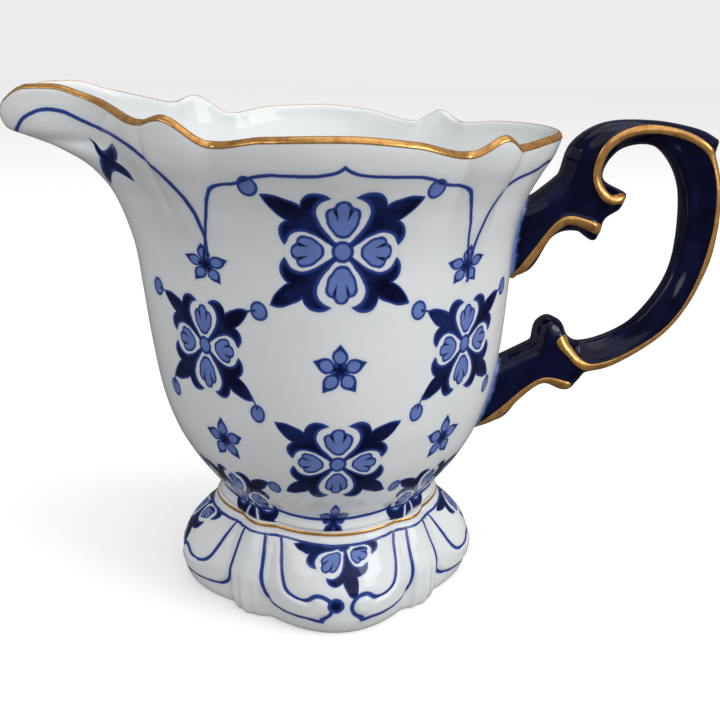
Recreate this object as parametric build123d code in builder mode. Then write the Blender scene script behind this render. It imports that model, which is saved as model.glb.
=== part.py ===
from build123d import *

import math
import os

# Porcelain cream jug: a lobed body with a long drawn-out spout, a scrolled handle
# and a lobed pedestal foot, as the three castings it is luted together from.
#
# Origin on the axis of the body at the level of the foot ring, +Z up,
# spout towards -X, handle towards +X, front face towards -Y. Millimetres.

# ---- Driving dimensions -------------------------------------------------------
joint_height = 20.0  # luted joint between the body and the foot
joint_radius = 22.8
well_floor = 24.0  # lowest point of the inside of the jug
trim_height = 108.0  # the walls are made this high, then trimmed to the rim
wall = 2.1  # thickness of the wall, measured outwards
wall_drop = 1.5  # thickness of the wall, measured downwards
foot_wall = 3.0
foot_roof = 13.5  # top of the hollow under the foot
handle_thickness = 9.2
handle_bevel = 0.5

front_creases = 30.0, 50.0  # creases of the body, from the middle of its front or back face
foot_creases = 33.0, 57.0  # the same for the foot
foot_turn = 3.0  # the foot is luted on a little turned about the axis
foot_side_lobes = 1.06  # radius of the lobes under spout and handle, as a share of the others
soft_diagonal = 0.935  # radius at the diagonals of a section without creases, as a share
spout_spread = 11.7  # half-width of the spout, as an angle at the axis
spout_root_spread = 24.0  # the same, where the spout leaves the body
section_steps = 72

# Body stations: height, radius of the main faces, radius at the creases and at
# the middle of the corner lobes as shares of it, how far the section goes from a
# soft four-lobed one (0) to a creased one (1), and how far the spout reaches.
body_stations = [
    (joint_height, joint_radius, 0.94, 0.985, 0.8, joint_radius),
    (22.0, 22.6, 0.94, 0.985, 0.8, 22.6),
    (25.0, 24.7, 0.945, 0.98, 0.7, 24.7),
    (30.0, 28.4, 0.95, 0.975, 0.45, 28.4),
    (36.0, 31.6, 0.955, 0.97, 0.15, 31.7),
    (44.0, 34.1, 0.955, 0.965, 0.0, 34.3),
    (54.0, 35.6, 0.955, 0.96, 0.0, 36.0),
    (66.0, 36.4, 0.955, 0.96, 0.0, 37.5),
    (76.0, 37.1, 0.955, 0.965, 0.35, 39.3),
    (83.0, 38.8, 0.95, 0.975, 0.9, 42.0),
    (88.0, 41.3, 0.945, 0.985, 1.0, 46.1),
    (91.5, 43.4, 0.942, 0.99, 1.0, 52.3),
    (93.3, 44.1, 0.942, 0.99, 1.0, 57.5),
    (94.8, 44.5, 0.942, 0.99, 1.0, 61.3),
    (97.5, 44.8, 0.942, 0.99, 1.0, 62.4),
    (trim_height, 45.4, 0.942, 0.99, 1.0, 60.5),
]

# Foot stations: height, radius of the main lobes, crease and corner shares.
foot_stations = [
    (0.0, 27.3, 0.87, 0.91),
    (3.0, 29.2, 0.85, 0.895),
    (7.0, 29.7, 0.84, 0.89),
    (11.5, 28.7, 0.84, 0.89),
    (15.0, 26.4, 0.86, 0.91),
    (17.8, 23.8, 0.91, 0.96),
    (joint_height, joint_radius, 0.94, 0.985),
]


def between(low, high, share):
    return low + (high - low) * share


def soft_radius(angle, face):
    """Radius at an angle from the +X axis of a section with four soft lobes."""
    dip = (1.0 - soft_diagonal) / 2 * (1.0 - math.cos(math.radians(4 * angle)))
    return face * (1.0 - dip)


def lobed_radius(angle, face, crease, corner, creases):
    """The same for a creased section: four main faces and a lobe at each corner."""
    first, last = creases
    from_front = abs(angle % 180.0 - 90.0)
    valley = face * crease
    if from_front < first:
        return between(valley, face, 1.0 - (from_front / first) ** 2)
    if from_front > last:
        return between(valley, face, 1.0 - ((90.0 - from_front) / (90.0 - last)) ** 2)
    from_corner = (2 * from_front - first - last) / (last - first)
    return between(valley, face * corner, 1.0 - from_corner**2)


def spout_radius(angle, reach, face):
    """Extra radius of the spout on the -X side, none where it reaches no further."""
    growth = reach - face
    narrowing = min(max(growth / 12.0, 0.0), 1.0)
    spread = between(spout_root_spread, spout_spread, narrowing)
    from_spout = abs(angle % 360.0 - 180.0)
    return growth * math.exp(-((from_spout / spread) ** 3))


def station_at(stations, height):
    """The station at any height, by straight lines between the listed ones."""
    for below, above in zip(stations, stations[1:]):
        if height <= above[0]:
            break
    share = (height - below[0]) / (above[0] - below[0])
    return [between(low, high, share) for low, high in zip(below, above)]


def body_outline(height, inset):
    """Points of the body's outline at a height, moved inwards by the inset."""
    _, face, crease, corner, creasing, reach = station_at(body_stations, height)
    points = []
    for step in range(section_steps):
        angle = 360.0 * step / section_steps
        creased = lobed_radius(angle, face, crease, corner, front_creases)
        radius = between(soft_radius(angle, face), creased, creasing)
        radius += spout_radius(angle, reach, face) - inset
        turn = math.radians(angle)
        points.append((radius * math.cos(turn), radius * math.sin(turn)))
    return points


def foot_outline(height, inset):
    _, face, crease, corner = station_at(foot_stations, height)
    points = []
    for step in range(section_steps):
        angle = 360.0 * step / section_steps
        side = math.cos(math.radians(angle)) ** 2 * (1.0 - height / joint_height) ** 0.25
        stretch = between(1.0, foot_side_lobes, side)
        radius = lobed_radius(angle, face, crease, corner, foot_creases) * stretch - inset
        turn = math.radians(angle + foot_turn)
        points.append((radius * math.cos(turn), radius * math.sin(turn)))
    return points


# ---- Jug body: bowl and spout in one casting ------------------------------------
# The rim seen from the front: dips at the creases, peaks at the corner lobes.
rim_line = [
    (-70.0, 95.6),
    (-63.0, 96.6),
    (-60.6, 99.4),
    (-56.5, 101.7),
    (-51.0, 101.9),
    (-45.5, 100.5),
    (-40.0, 98.7),
    (-34.0, 97.0),
    (-29.6, 98.2),
    (-21.0, 94.2),
    (-13.0, 95.5),
    (0.0, 96.0),
    (11.0, 95.1),
    (20.8, 93.0),
    (27.5, 95.7),
    (31.5, 93.4),
    (38.0, 94.2),
    (45.0, 94.5),
    (53.0, 94.7),
]

inner_heights = [well_floor, 27.0, 32.0, 38.0, 46.0, 56.0, 67.0, 77.0, 84.0, 89.0,
                 92.8, 94.8, 96.4, 99.0, trim_height]

with BuildPart() as bowl:
    for station in body_stations:
        with BuildSketch(Plane.XY.offset(station[0])):
            with BuildLine():
                Spline(body_outline(station[0], 0.0), periodic=True)
            make_face()
    loft(ruled=True)

with BuildPart() as jug_body:
    add(bowl.part)
    for height in inner_heights:
        with BuildSketch(Plane.XY.offset(height)):
            with BuildLine():
                Spline(body_outline(height - wall_drop, wall), periodic=True)
            make_face()
    loft(ruled=True, mode=Mode.SUBTRACT)
    with BuildSketch(Plane.XZ):
        with BuildLine():
            Spline(rim_line)
            Polyline(rim_line[-1], (55.0, 115.0), (-75.0, 115.0), rim_line[0])
        make_face()
    extrude(amount=60.0, both=True, mode=Mode.SUBTRACT)

jug_body.part.label = "jug_body"

# ---- Pedestal foot: hollow underneath, stands on a narrow lobed ring -------------
with BuildPart() as pedestal_foot:
    for station in foot_stations:
        with BuildSketch(Plane.XY.offset(station[0])):
            with BuildLine():
                Spline(foot_outline(station[0], 0.0), periodic=True)
            make_face()
    loft(ruled=True)
    for height in (0.0, 5.0, 9.0, foot_roof):
        with BuildSketch(Plane.XY.offset(height)):
            with BuildLine():
                Spline(foot_outline(height, foot_wall), periodic=True)
            make_face()
    loft(ruled=True, mode=Mode.SUBTRACT)

pedestal_foot.part.label = "pedestal_foot"

# ---- Handle: a C-scroll with two curls, luted to the wall at both roots ----------
# Each run is a smooth line between two corners of the outline, in the XZ plane.
handle_runs = [
    [(32.4, 80.2), (39.5, 82.0), (43.0, 84.3), (45.9, 86.7)],
    [(45.9, 86.7), (48.1, 93.0), (54.5, 97.0), (64.4, 97.5), (73.4, 96.0), (77.8, 93.9)],
    [(77.8, 93.9), (77.2, 91.4)],
    [(77.2, 91.4), (79.6, 82.1), (78.5, 68.0), (71.6, 55.0), (60.9, 47.1), (54.2, 45.1)],
    [(54.2, 45.1), (52.4, 42.8), (49.8, 41.3), (45.1, 42.8), (40.6, 39.3), (36.7, 35.0), (27.5, 32.2)],
    [(27.5, 32.2), (29.2, 45.8)],
    [(29.2, 45.8), (35.8, 48.6), (42.6, 52.0)],
    [(42.6, 52.0), (43.3, 55.8), (46.0, 57.5), (48.4, 55.5), (52.9, 52.0), (64.0, 56.8),
     (70.8, 68.0), (71.1, 83.4), (65.5, 92.1), (57.5, 91.5), (54.5, 86.4), (59.7, 83.2)],
    [(59.7, 83.2), (58.7, 80.0), (55.7, 77.8), (53.9, 73.4), (50.0, 75.4), (45.2, 74.2),
     (40.5, 67.1), (32.4, 65.8)],
    [(32.4, 65.8), (32.4, 80.2)],
]

with BuildPart() as handle:
    with BuildSketch(Plane.XZ):
        with BuildLine():
            for run in handle_runs:
                if len(run) == 2:
                    Line(run[0], run[1])
                else:
                    Spline(run)
        make_face()
    extrude(amount=handle_thickness / 2, both=True)
    sides = handle.faces().sort_by(Axis.Y)
    chamfer(sides[0].edges() + sides[-1].edges(), handle_bevel)
    add(bowl.part, mode=Mode.SUBTRACT)

handle.part.label = "handle"

os.makedirs("parts", exist_ok=True)
export_step(jug_body.part, "parts/jug_body.step")
export_step(pedestal_foot.part, "parts/pedestal_foot.step")
export_step(handle.part, "parts/handle.step")
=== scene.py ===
"""Porcelain cream jug with underglaze-blue painting and gilt lines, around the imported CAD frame."""

import math

import bpy
import numpy as np
from mathutils import Euler, Matrix, Vector


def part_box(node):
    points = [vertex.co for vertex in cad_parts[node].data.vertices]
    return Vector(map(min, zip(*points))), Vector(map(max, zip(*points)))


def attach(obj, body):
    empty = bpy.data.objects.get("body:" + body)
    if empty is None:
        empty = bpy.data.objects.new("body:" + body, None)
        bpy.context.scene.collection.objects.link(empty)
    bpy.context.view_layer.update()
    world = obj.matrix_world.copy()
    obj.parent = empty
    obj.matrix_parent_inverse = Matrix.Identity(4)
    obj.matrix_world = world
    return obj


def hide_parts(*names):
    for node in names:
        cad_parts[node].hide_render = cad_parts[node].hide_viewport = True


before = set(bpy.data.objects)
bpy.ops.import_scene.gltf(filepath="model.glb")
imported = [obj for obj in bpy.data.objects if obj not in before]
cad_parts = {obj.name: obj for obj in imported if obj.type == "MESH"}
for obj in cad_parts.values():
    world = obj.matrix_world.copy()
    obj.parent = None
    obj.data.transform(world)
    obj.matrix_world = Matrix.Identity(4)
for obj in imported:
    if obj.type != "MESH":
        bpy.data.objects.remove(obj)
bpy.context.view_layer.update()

MM = 0.001  # the shapes below are in millimetres, the objects in metres

# ---- Shape of the castings: that of the CAD model, with softer creases ----
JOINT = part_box("pedestal_foot")[1][2] / MM  # height of the luted joint
TRIM = 108.0  # the walls are made this high, then trimmed to the rim
WALL = 2.2  # measured square to the wall
WELL_FLOOR = 24.0
BODY_CREASES = 30.0, 50.0  # from the middle of the front or back face
FOOT_CREASES = 33.0, 57.0
FOOT_TURN = 3.0  # the foot is luted on a little turned about the axis
FOOT_SIDE_LOBES = 1.06  # its lobes under spout and handle reach out further
SPOUT_SPREAD = 11.7  # half-width of the spout, as an angle at the axis
SPOUT_ROOT_SPREAD = 24.0  # the same, where the spout leaves the body
SPOUT_GROWN = 12.0  # how far the spout stands out where it has its least spread
CREASE_FILL = 0.6  # how much of the creases beside the spout is filled
FILL_SPREAD = 9.0  # how wide that is, in degrees
SOFT_DIAGONAL = 0.935

# height, radius of the main faces, crease and corner-lobe radii as shares of it,
# sharpness of the creases, how far the section is creased rather than softly
# four-lobed, reach of the spout
BODY_STATIONS = np.array([
    (20.0, 23.1, 0.940, 0.985, 0.6, 0.80, 23.1),
    (21.0, 23.0, 0.940, 0.985, 0.6, 0.80, 23.0),
    (22.2, 22.6, 0.940, 0.985, 0.6, 0.80, 22.6),
    (25.0, 24.7, 0.945, 0.980, 0.5, 0.70, 24.7),
    (30.0, 28.4, 0.955, 0.975, 0.3, 0.45, 28.4),
    (36.0, 31.6, 0.962, 0.972, 0.1, 0.15, 31.7),
    (44.0, 34.1, 0.966, 0.972, 0.0, 0.00, 34.3),
    (54.0, 35.6, 0.966, 0.972, 0.0, 0.00, 36.0),
    (66.0, 36.4, 0.964, 0.972, 0.1, 0.00, 37.5),
    (72.0, 36.7, 0.960, 0.973, 0.3, 0.10, 38.3),
    (76.0, 37.1, 0.955, 0.973, 0.5, 0.35, 39.3),
    (83.0, 38.8, 0.950, 0.978, 0.9, 0.92, 42.0),
    (88.0, 41.3, 0.945, 0.985, 1.0, 1.00, 46.1),
    (91.5, 43.4, 0.942, 0.990, 1.0, 1.00, 52.3),
    (93.3, 44.1, 0.942, 0.990, 1.0, 1.00, 57.5),
    (94.8, 44.5, 0.942, 0.990, 1.0, 1.00, 61.3),
    (97.5, 44.8, 0.942, 0.990, 1.0, 1.00, 62.4),
    (108.0, 45.4, 0.942, 0.990, 1.0, 1.00, 60.5),
])

# the rim seen from the front: along X, and its height
RIM_LINE = np.array([
    (-70.0, 95.6), (-63.0, 96.6), (-60.6, 99.4), (-56.5, 101.7), (-51.0, 101.9), (-45.5, 100.5),
    (-40.0, 98.7), (-34.0, 97.0), (-29.6, 98.2), (-21.0, 94.2), (-13.0, 95.5), (0.0, 96.0),
    (11.0, 95.1), (20.8, 93.0), (27.5, 95.7), (31.5, 93.4), (38.0, 94.2), (45.0, 94.5), (53.0, 94.7),
])

# the same for the foot, up to the sharpness of its creases
FOOT_STATIONS = np.array([
    (0.0, 27.3, 0.87, 0.91, 0.5),
    (1.2, 28.4, 0.86, 0.90, 0.6),
    (4.0, 29.4, 0.845, 0.89, 0.7),
    (8.0, 29.7, 0.84, 0.885, 0.8),
    (12.0, 28.5, 0.84, 0.885, 0.8),
    (15.5, 26.0, 0.87, 0.92, 0.7),
    (17.9, 23.4, 0.93, 0.975, 0.6),
    (18.6, 22.9, 0.94, 0.985, 0.6),
    (20.0, 23.1, 0.94, 0.985, 0.6),
])


def smooth_through(at, knots, values):
    """A cubic line through the values that never overshoots between them."""
    step = np.diff(knots)
    slope = np.diff(values) / step
    before, after = slope[:-1], slope[1:]
    same_way = before * after > 0
    middle = np.where(same_way, 2 * before * after / np.where(same_way, before + after, 1), 0)
    tangent = np.concatenate([slope[:1], middle, slope[-1:]])
    i = np.clip(np.searchsorted(knots, at, side="right") - 1, 0, len(step) - 1)
    t = (at - knots[i]) / step[i]
    return (
        (2 * t**3 - 3 * t**2 + 1) * values[i]
        + (t**3 - 2 * t**2 + t) * step[i] * tangent[i]
        + (3 * t**2 - 2 * t**3) * values[i + 1]
        + (t**3 - t**2) * step[i] * tangent[i + 1]
    )


def bulge(t, sharpness):
    """From 1 in the middle of a lobe, where t is 0, to 0 at its creases."""
    t = np.clip(t, 0, 1)
    return sharpness * (1 - t**2) + (1 - sharpness) * (0.5 + 0.5 * np.cos(np.pi * t))


def lobed(angle, face, crease, corner, sharpness, creases):
    """Radius of a section with four main faces and four corner lobes, angle in degrees."""
    first, last = creases
    from_front = np.abs(angle % 180 - 90)
    valley = face * crease
    across = np.where(from_front < first, from_front / first, (90 - from_front) / (90 - last))
    on_face = bulge(across, sharpness)
    on_corner = bulge(np.abs(2 * from_front - first - last) / (last - first), sharpness)
    between = (from_front > first) & (from_front < last)
    return valley + np.where(between, (face * corner - valley) * on_corner, (face - valley) * on_face)


def body_radius(angle, height):
    z = BODY_STATIONS[:, 0]
    face, crease, corner, sharpness, creasing, reach = [
        smooth_through(height, z, BODY_STATIONS[:, k]) for k in range(1, 7)
    ]
    growth = reach - face
    narrowing = np.clip(growth / SPOUT_GROWN, 0, 1)
    spread = SPOUT_ROOT_SPREAD + (SPOUT_SPREAD - SPOUT_ROOT_SPREAD) * narrowing
    from_spout = np.abs(angle % 360 - 180)
    spout = growth * np.exp(-((from_spout / spread) ** 3))
    soft = face * (1 - (1 - SOFT_DIAGONAL) * (1 - np.cos(np.radians(4 * angle))) / 2)
    creased = lobed(angle, face, crease, corner, sharpness, BODY_CREASES)
    from_crease = from_spout - 90 + BODY_CREASES[1]
    filled = CREASE_FILL * face * (1 - crease) * np.exp(-((from_crease / FILL_SPREAD) ** 2))
    return soft + (creased + filled - soft) * creasing + spout


def foot_radius(angle, height):
    """Radius of the foot, at an angle about its own middle lobe."""
    z = FOOT_STATIONS[:, 0]
    columns = [smooth_through(height, z, FOOT_STATIONS[:, k]) for k in range(1, 5)]
    side = np.cos(np.radians(angle)) ** 2 * np.clip(1 - height / JOINT, 0, 1) ** 0.25
    return lobed(angle, *columns, FOOT_CREASES) * (1 + (FOOT_SIDE_LOBES - 1) * side)


# ---- Mesh helpers ----
HELD_ROWS = 8  # how many of the last rows of a grid are evened out less and less


def polar(angle, radius, height):
    turn = np.radians(angle)
    return np.stack([radius * np.cos(turn), radius * np.sin(turn), height], axis=-1)


def even_steps(path, count):
    """Each column of path (samples, columns, 3) as count evenly spaced points."""
    length = np.linalg.norm(np.diff(path, axis=0), axis=-1)
    run = np.concatenate([np.zeros((1, path.shape[1])), np.cumsum(length, axis=0)])
    out = np.empty((count, path.shape[1], 3))
    for c in range(path.shape[1]):
        at = np.linspace(0, run[-1, c], count)
        for k in range(3):
            out[:, c, k] = np.interp(at, run[:, c], path[:, c, k])
    return out


def grid_normals(grid):
    """Outward normals of a grid (rows going up, columns anticlockwise)."""
    up = np.gradient(grid, axis=0)
    wrapped = np.concatenate([grid[:, -1:], grid, grid[:, :1]], axis=1)
    around = (wrapped[:, 2:] - wrapped[:, :-2]) / 2
    normal = np.cross(around, up)
    return normal / np.linalg.norm(normal, axis=-1, keepdims=True)


def relaxed(grid, rounds):
    """The grid evened out towards its neighbours, less so near its last row."""
    grid = grid.copy()
    from_last = len(grid) - 1 - np.arange(1, len(grid) - 1)
    share = 0.5 * np.clip(from_last / HELD_ROWS, 0, 1)[:, None, None]
    for _ in range(rounds):
        around = np.roll(grid, 1, axis=1) + np.roll(grid, -1, axis=1)
        grid[1:-1] += share * ((grid[:-2] + grid[2:] + around[1:-1]) / 4 - grid[1:-1])
    return grid


def add_object(name, data):
    thing = bpy.data.objects.new(name, data)
    bpy.context.scene.collection.objects.link(thing)
    return thing


def add_piece(name, points, faces):
    mesh = bpy.data.meshes.new(name)
    mesh.from_pydata([tuple(p) for p in np.asarray(points) * MM], [], faces)
    mesh.shade_smooth()
    return add_object(name, mesh)


def turned_shell(rows, close=True):
    """Points and faces from rows of points, each row a closed ring; the ends are closed
    by a fan, or joined to each other where close is False."""
    rows = np.asarray(rows)
    count, around = rows.shape[:2]
    points = list(rows.reshape(-1, 3))
    c = np.arange(around)
    d = (c + 1) % around
    faces = []
    for r in range(count - 1 if close else count):
        low, high = r * around, (r + 1) % count * around
        faces += np.stack([low + c, low + d, high + d, high + c], axis=1).tolist()
    if close:
        last = (count - 1) * around
        points += [rows[0].mean(axis=0), rows[-1].mean(axis=0)]
        faces += [(len(points) - 2, j, i) for i, j in zip(c, d)]
        faces += [(len(points) - 1, last + i, last + j) for i, j in zip(c, d)]
    return points, faces


def turned_mesh(name, rows, close=True):
    return add_piece(name, *turned_shell(rows, close))


def number_on(piece, name, values):
    """Stores a number at each vertex of the piece, for its material."""
    layer = piece.data.attributes.new(name, "FLOAT", "POINT")
    layer.data.foreach_set("value", np.asarray(values, dtype=np.float32))


def smooth_line(points, step=0.5):
    """Points evenly spaced along a Catmull-Rom line through the given points."""
    points = np.asarray(points, dtype=float)
    before = 2 * points[:1] - points[1:2]
    after = 2 * points[-1:] - points[-2:-1]
    p = np.concatenate([before, points, after])
    t = np.linspace(0, 1, 16, endpoint=False)[:, None]
    spans = []
    for a, b, c, d in zip(p, p[1:], p[2:], p[3:]):
        spans.append(b + t / 2 * (c - a + t * (2 * a - 5 * b + 4 * c - d + t * (3 * (b - c) + d - a))))
    line = np.concatenate(spans + [p[-2:-1]])
    run = np.concatenate([[0], np.cumsum(np.linalg.norm(np.diff(line, axis=0), axis=1))])
    at = np.linspace(0, run[-1], max(2, round(run[-1] / step)) + 1)
    return np.stack([np.interp(at, run, line[:, k]) for k in range(line.shape[1])], axis=1)


def distance_to_line(x, z, line):
    """Distance of each place (x, z) from a line of short straight steps."""
    nearest = np.full(x.shape, np.inf)
    for (x0, z0), (x1, z1) in zip(line, line[1:]):
        dx, dz = x1 - x0, z1 - z0
        share = np.clip(((x - x0) * dx + (z - z0) * dz) / (dx * dx + dz * dz + 1e-12), 0, 1)
        gap = (x - x0 - share * dx) ** 2 + (z - z0 - share * dz) ** 2
        nearest = np.minimum(nearest, gap)
    return np.sqrt(nearest)


def inside_line(x, z, line):
    """Whether each place (x, z) is inside a closed line."""
    inside = np.zeros(x.shape, dtype=bool)
    for (x0, z0), (x1, z1) in zip(line, np.roll(line, -1, axis=0)):
        if z0 != z1:
            crosses = (z0 > z) != (z1 > z)
            inside ^= crosses & (x < (x1 - x0) * (z - z0) / (z1 - z0) + x0)
    return inside


def skin(name, field, start, cell):
    """A closed mesh over the zero level of a field on a grid, inside where it is below 0."""
    shape = np.array(field.shape) - 1
    corners = [(i, j, k) for i in (0, 1) for j in (0, 1) for k in (0, 1)]
    value = {
        (i, j, k): field[i:i + shape[0], j:j + shape[1], k:k + shape[2]] for i, j, k in corners
    }
    place = np.zeros((*shape, 3))
    hits = np.zeros(tuple(shape))
    for c in corners:
        for axis in range(3):
            if c[axis]:
                continue
            d = tuple(1 if k == axis else c[k] for k in range(3))
            crosses = (value[c] < 0) != (value[d] < 0)
            share = value[c] / np.where(crosses, value[c] - value[d], 1)
            for k in range(3):
                place[..., k] += np.where(crosses, c[k] + (share if k == axis else 0), 0)
            hits += crosses
    live = hits > 0
    number = np.full(live.shape, -1)
    number[live] = np.arange(live.sum())
    base = np.stack(np.meshgrid(*[np.arange(n) for n in shape], indexing="ij"), axis=-1)
    points = start + cell * (base[live] + place[live] / hits[live][:, None])
    faces = []
    for axis in range(3):
        u, v = (axis + 1) % 3, (axis + 2) % 3
        first = np.take(field, range(0, shape[axis]), axis)
        second = np.take(field, range(1, shape[axis] + 1), axis)
        crosses = (first < 0) != (second < 0)
        at = np.argwhere(crosses)
        at = at[(at[:, u] > 0) & (at[:, v] > 0) & (at[:, u] < shape[u]) & (at[:, v] < shape[v])]
        outward = (first < 0)[tuple(at.T)]
        ring = []
        for du, dv in ((1, 1), (0, 1), (0, 0), (1, 0)):
            cellat = at.copy()
            cellat[:, u] -= du
            cellat[:, v] -= dv
            ring.append(number[tuple(cellat.T)])
        quad = np.stack(ring, axis=1)
        faces += quad[outward].tolist() + quad[~outward][:, ::-1].tolist()
    return add_piece(name, points, faces), points


# ---- Numbers that vary over a surface ----
def new_node(tree, kind, *sources, **settings):
    """A node fed by sockets or plain values, in the order of its inputs; None feeds nothing."""
    node = tree.nodes.new(kind)
    for name, value in settings.items():
        setattr(node, name, value)
    for socket, source in zip(node.inputs, sources):
        if isinstance(source, bpy.types.NodeSocket):
            tree.links.new(source, socket)
        elif source is not None:
            socket.default_value = source
    return node


class Ink:
    """A number that varies over a surface: a socket in the node tree of a material."""

    def __init__(self, tree, socket):
        self.tree = tree
        self.socket = socket

    def __add__(self, other):
        return maths("ADD", self, other)

    def __sub__(self, other):
        return maths("SUBTRACT", self, other)

    def __rsub__(self, other):
        return maths("SUBTRACT", other, self)

    def __mul__(self, other):
        return maths("MULTIPLY", self, other)

    def __neg__(self):
        return maths("MULTIPLY", self, -1.0)

    def __abs__(self):
        return maths("ABSOLUTE", self)

    __radd__ = __add__
    __rmul__ = __mul__


ON_ARRAYS = {
    "MAXIMUM": np.maximum,
    "SQRT": np.sqrt,
    "ARCTAN2": np.arctan2,
}


def maths(operation, *terms):
    """One step of arithmetic, as a node on inks and as numpy on arrays."""
    inks = [term for term in terms if isinstance(term, Ink)]
    if not inks:
        return ON_ARRAYS[operation](*terms)
    tree = inks[0].tree
    sources = [term.socket if isinstance(term, Ink) else term for term in terms]
    return Ink(tree, new_node(tree, "ShaderNodeMath", *sources, operation=operation).outputs[0])


def lowest(*terms):
    least = terms[0]
    for term in terms[1:]:
        least = maths("MINIMUM", least, term)
    return least


def highest(*terms):
    most = terms[0]
    for term in terms[1:]:
        most = maths("MAXIMUM", most, term)
    return most


def length(x, y):
    return maths("SQRT", x * x + y * y)


def ramp(at, start, end, low=0.0, high=1.0, kind="SMOOTHSTEP"):
    """From low at start to high at end, and level beyond both."""
    if not isinstance(at, Ink):
        share = np.clip((at - start) / (end - start), 0, 1)
        if kind == "LINEAR":
            return low + (high - low) * share
        return low + (high - low) * share * share * (3 - 2 * share)
    limits = start, end, low, high
    node = new_node(at.tree, "ShaderNodeMapRange", at.socket, *limits, interpolation_type=kind)
    return Ink(at.tree, node.outputs[0])


def rounded_union(a, b, width):
    """The lower of two distances, with a fillet where they are alike."""
    mix = ramp(b - a, -width, width, kind="LINEAR")
    return b + (a - b) * mix - width * mix * (1 - mix)


def beyond(at, limit):
    """1 past the limit, 0 before it."""
    return maths("GREATER_THAN", at, limit)


def pick(switch, off, on):
    """One number where the switch is 0, the other where it is 1."""
    return off + switch * (on - off)


def curve(at, keys):
    """A smooth line through (place, value) keys; a third item marks a sharp corner."""
    places = [key[0] for key in keys]
    values = [key[1] for key in keys]
    if not isinstance(at, Ink):
        at = np.clip(at, places[0], places[-1])
        return smooth_through(at, np.array(places), np.array(values))
    first, last, low = places[0], places[-1], min(values)
    tall = max(max(values) - low, 1e-6)
    node = at.tree.nodes.new("ShaderNodeFloatCurve")
    points = node.mapping.curves[0].points
    for place in places[2:]:
        points.new(0.5, 0.5)
    for point, key in zip(points, keys):
        point.location = ((key[0] - first) / (last - first), (key[1] - low) / tall)
    for point, key in zip(points, keys):
        point.handle_type = "VECTOR" if len(key) > 2 else "AUTO_CLAMPED"
    node.mapping.update()
    at.tree.links.new(ramp(at, first, last, kind="LINEAR").socket, node.inputs["Value"])
    return Ink(at.tree, node.outputs[0]) * tall + low


def outline(x, y, middle, points):
    """Distance outside a line drawn by points around a middle, in order of their angle."""
    keys = []
    for point in points:
        dx, dy = point[0] - middle[0], point[1] - middle[1]
        keys.append((math.atan2(dy, dx), math.hypot(dx, dy), *point[2:]))
    keys.sort(key=lambda key: key[0])
    dx, dy = x - middle[0], y - middle[1]
    return length(dx, dy) - curve(maths("ARCTAN2", dy, dx), keys)


def stroke(along, across, keys, thickness):
    """Distance outside a brush line that runs through the keys."""
    step = 0.3
    here = curve(along, keys)
    slope = (curve(along + step, keys) - here) * (1 / step)
    return maths("DIVIDE", abs(across - here), length(slope, 1.0)) - thickness / 2


# ---- Motifs, in millimetres about their own middle ----
SHARP = "sharp"
NO_PAINT = 9.0  # a distance well outside any paint
LEAF_MIDDLE = (6.4, 5.4)
LEAF = [
    (0.0, 0.4), (4.0, -0.6), (7.5, -0.6), (9.75, 0.3), (10.05, 0.95, SHARP), (11.0, 2.2), (11.2, 3.5),
    (10.7, 4.8), (9.7, 5.7, SHARP), (11.7, 7.3), (13.5, 10.2, SHARP), (11.2, 10.4), (8.9, 9.7),
    (7.0, 8.7, SHARP), (6.4, 10.1), (5.3, 10.95), (4.0, 11.1), (2.9, 10.8), (1.75, 10.0, SHARP),
    (0.6, 9.0), (-0.6, 5.5),
]
DROP_MIDDLE = (6.0, 0.0)
DROP = [
    (10.9, 0.0), (10.5, 1.2), (10.0, 1.85), (9.6, 2.8), (8.8, 3.8), (7.8, 4.25), (6.6, 4.25), (5.2, 3.7),
    (3.7, 2.7), (2.4, 1.65), (1.75, 0.8), (1.65, 0.0),
]
PALMETTE = [
    (9.55, 0.0), (9.35, 0.75), (8.9, 1.25), (8.4, 1.6), (8.2, 2.1), (7.7, 2.7), (6.8, 2.95), (5.6, 2.75),
    (4.2, 2.15), (3.1, 1.3), (2.6, 0.6), (2.5, 0.0),
]
PALMETTE_WASH = [
    (9.05, 0.0), (8.95, 0.45), (8.4, 0.85), (7.9, 1.5), (7.6, 2.1), (6.7, 2.4), (5.6, 2.25), (4.4, 1.65),
    (3.6, 1.1), (3.2, 0.5), (3.1, 0.0),
]
NOTCH_FOOT = (6.0, 0.85)
NOTCH_TOP = (8.5, 1.5)
NOTCH_HALF, NOTCH_OPENS = 0.05, 0.16
DISC, DISC_WASH = 1.95, 1.35
DISC_HEIGHTS = 0.9  # heights count for this much, so the disc is a little tall
# the petals to the sides are shorter than the upright ones, and their drops narrower too
SIDE_PETAL_SLOPE = 0.76
SIDE_PETAL_SHORT, SIDE_PETAL_SHIFT = 1.18, 1.1
SIDE_DROP_SHORT, SIDE_DROP_NARROW = 1.03, 1.22
BEAD_RADIUS, BEAD_EDGE = 1.9, 0.5
PETAL = [
    (0.0, 1.25), (1.2, 1.05), (2.6, 1.55), (3.4, 1.4), (4.4, 0.75), (5.4, 0.0, SHARP), (7.5, -2.1, SHARP),
]
PETAL_WASH = [(0.0, -1.4), (1.3, -0.1), (1.9, 0.75), (2.6, 1.02), (3.3, 0.85), (4.0, 0.1), (5.5, -1.4)]


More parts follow.
